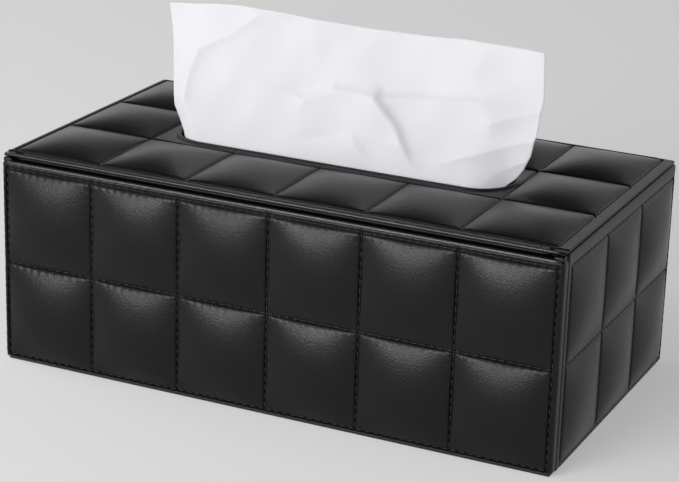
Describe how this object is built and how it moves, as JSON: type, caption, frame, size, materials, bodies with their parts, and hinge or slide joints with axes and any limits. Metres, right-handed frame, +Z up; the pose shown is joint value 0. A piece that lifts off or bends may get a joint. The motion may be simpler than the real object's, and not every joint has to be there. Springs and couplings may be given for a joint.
{
  "type": "tissue box cover",
  "caption": "Rectangular tissue box cover in quilted black leather over board, with a rear-hinged lid, a long round-ended slot and a tissue standing in it.",
  "frame": {"origin": "middle of the base, on the surface that the box stands on", "axes": "+X along the length to the right, -Y towards the front, +Z up"},
  "size_m": [0.2646, 0.1482, 0.155],
  "materials": {
    "quilted_leather": "black grained leather, semi-gloss, quilted",
    "edge_leather": "black grained leather, semi-gloss, plain",
    "fibreboard": "raw fibreboard",
    "sponge": "open sponge sheet",
    "lining_cloth": "short-nap black cloth",
    "felt": "pressed black felt",
    "magnet": "nickel-plated",
    "keeper_steel": "bare sheet steel",
    "tissue_paper": "soft two-ply tissue"
  },
  "bodies": {
    "box": {"front_cover": "quilted_leather", "rear_cover": "quilted_leather", "left_cover": "quilted_leather", "right_cover": "quilted_leather", "hinge_strip": "edge_leather", "front_board": "fibreboard", "rear_board": "fibreboard", "left_board": "fibreboard", "right_board": "fibreboard", "base_board": "fibreboard", "front_padding": "sponge", "rear_padding": "sponge", "left_padding": "sponge", "right_padding": "sponge", "front_lining": "lining_cloth", "rear_lining": "lining_cloth", "left_lining": "lining_cloth", "right_lining": "lining_cloth", "base_lining": "lining_cloth", "base_felt": "felt", "wall_magnets": "magnet", "tissue_stack": "tissue_paper"},
    "lid": {"lid_board": "fibreboard", "lid_cover": "quilted_leather", "lid_padding": "sponge", "lid_lining": "lining_cloth", "slot_trim": "edge_leather", "lid_keepers": "keeper_steel"},
    "tissue": {"tissue_sheet": "tissue_paper"}
  },
  "joints": [
    {"name": "lid_hinge", "type": "hinge", "parent": "box", "child": "lid", "pos_m": [0, 0.07145, 0.09465], "axis": [-1, 0, 0], "range_deg": [0, 110], "deforming": ["hinge_strip"]},
    {"name": "tissue_pull", "type": "slide", "parent": "lid", "child": "tissue", "axis": [0, 0, 1], "range_m": [0, 0.1]}
  ]
}
